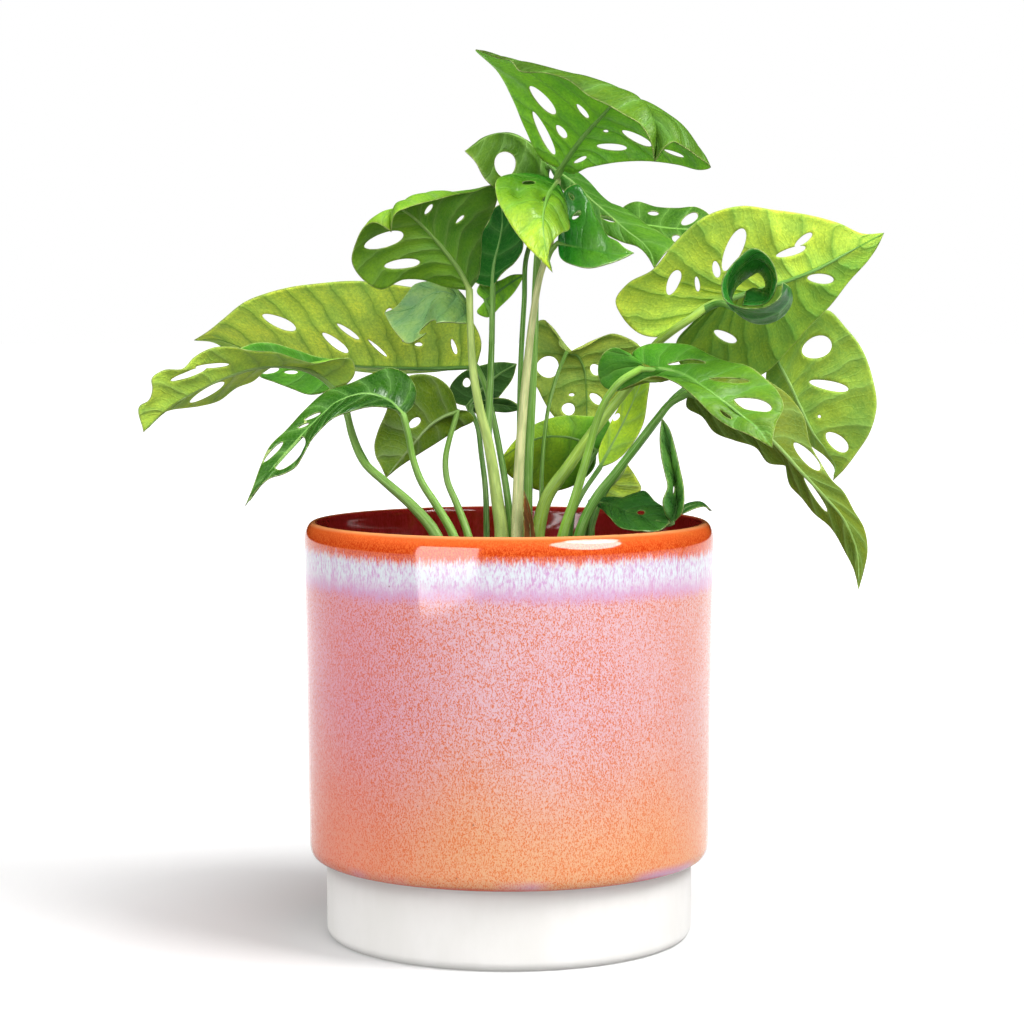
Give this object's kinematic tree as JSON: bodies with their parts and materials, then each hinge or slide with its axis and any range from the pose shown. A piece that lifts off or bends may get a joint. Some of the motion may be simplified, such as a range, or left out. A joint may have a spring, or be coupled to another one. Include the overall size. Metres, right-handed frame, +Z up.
{
  "type": "potted monstera adansonii",
  "caption": "Monstera adansonii with holed, arching leaves on slender stalks, growing in a round glazed pot with a stepped foot.",
  "frame": {"origin": "centre of the pot's flat bottom, on the surface it stands on", "axes": "+Z up along the pot's axis, +X to the right and -Y towards the viewer of the picture"},
  "size_m": [0.2498, 0.14, 0.2994],
  "materials": {
    "glazed_ceramic": "glossy reactive glaze",
    "potting_mix": "crumbly",
    "crown_leaves": "satin leaf",
    "front_leaves": "glossy leaf",
    "left_stem": "satin leaf",
    "leaf_behind_right": "satin leaf",
    "leaf_light_left": "satin leaf",
    "leaf_far_left": "satin leaf",
    "leaf_slit_left": "satin leaf",
    "leaf_olive_low": "satin leaf",
    "leaf_dark_back": "satin leaf",
    "leaf_heart_right": "satin leaf",
    "leaf_back_right": "satin leaf",
    "leaf_long_right": "satin leaf",
    "leaf_arch_front": "satin leaf",
    "leaf_small_mid": "satin leaf",
    "leaf_low_mid": "satin leaf",
    "leaf_upright_mid": "satin leaf",
    "leaf_low_right": "satin leaf",
    "leaf_withered": "dry leaf",
    "dry_sheath": "papery"
  },
  "bodies": {
    "root": {"pot": "glazed_ceramic", "soil": "potting_mix", "crown_leaves": "crown_leaves", "front_leaves": "front_leaves", "left_stem": "left_stem", "leaf_behind_right": "leaf_behind_right", "leaf_light_left": "leaf_light_left", "leaf_far_left": "leaf_far_left", "leaf_slit_left": "leaf_slit_left", "leaf_olive_low": "leaf_olive_low", "leaf_dark_back": "leaf_dark_back", "leaf_heart_right": "leaf_heart_right", "leaf_back_right": "leaf_back_right", "leaf_long_right": "leaf_long_right", "leaf_arch_front": "leaf_arch_front", "leaf_small_mid": "leaf_small_mid", "leaf_low_mid": "leaf_low_mid", "leaf_upright_mid": "leaf_upright_mid", "leaf_low_right": "leaf_low_right", "leaf_withered": "leaf_withered", "dry_sheath": "dry_sheath"}
  },
  "joints": []
}
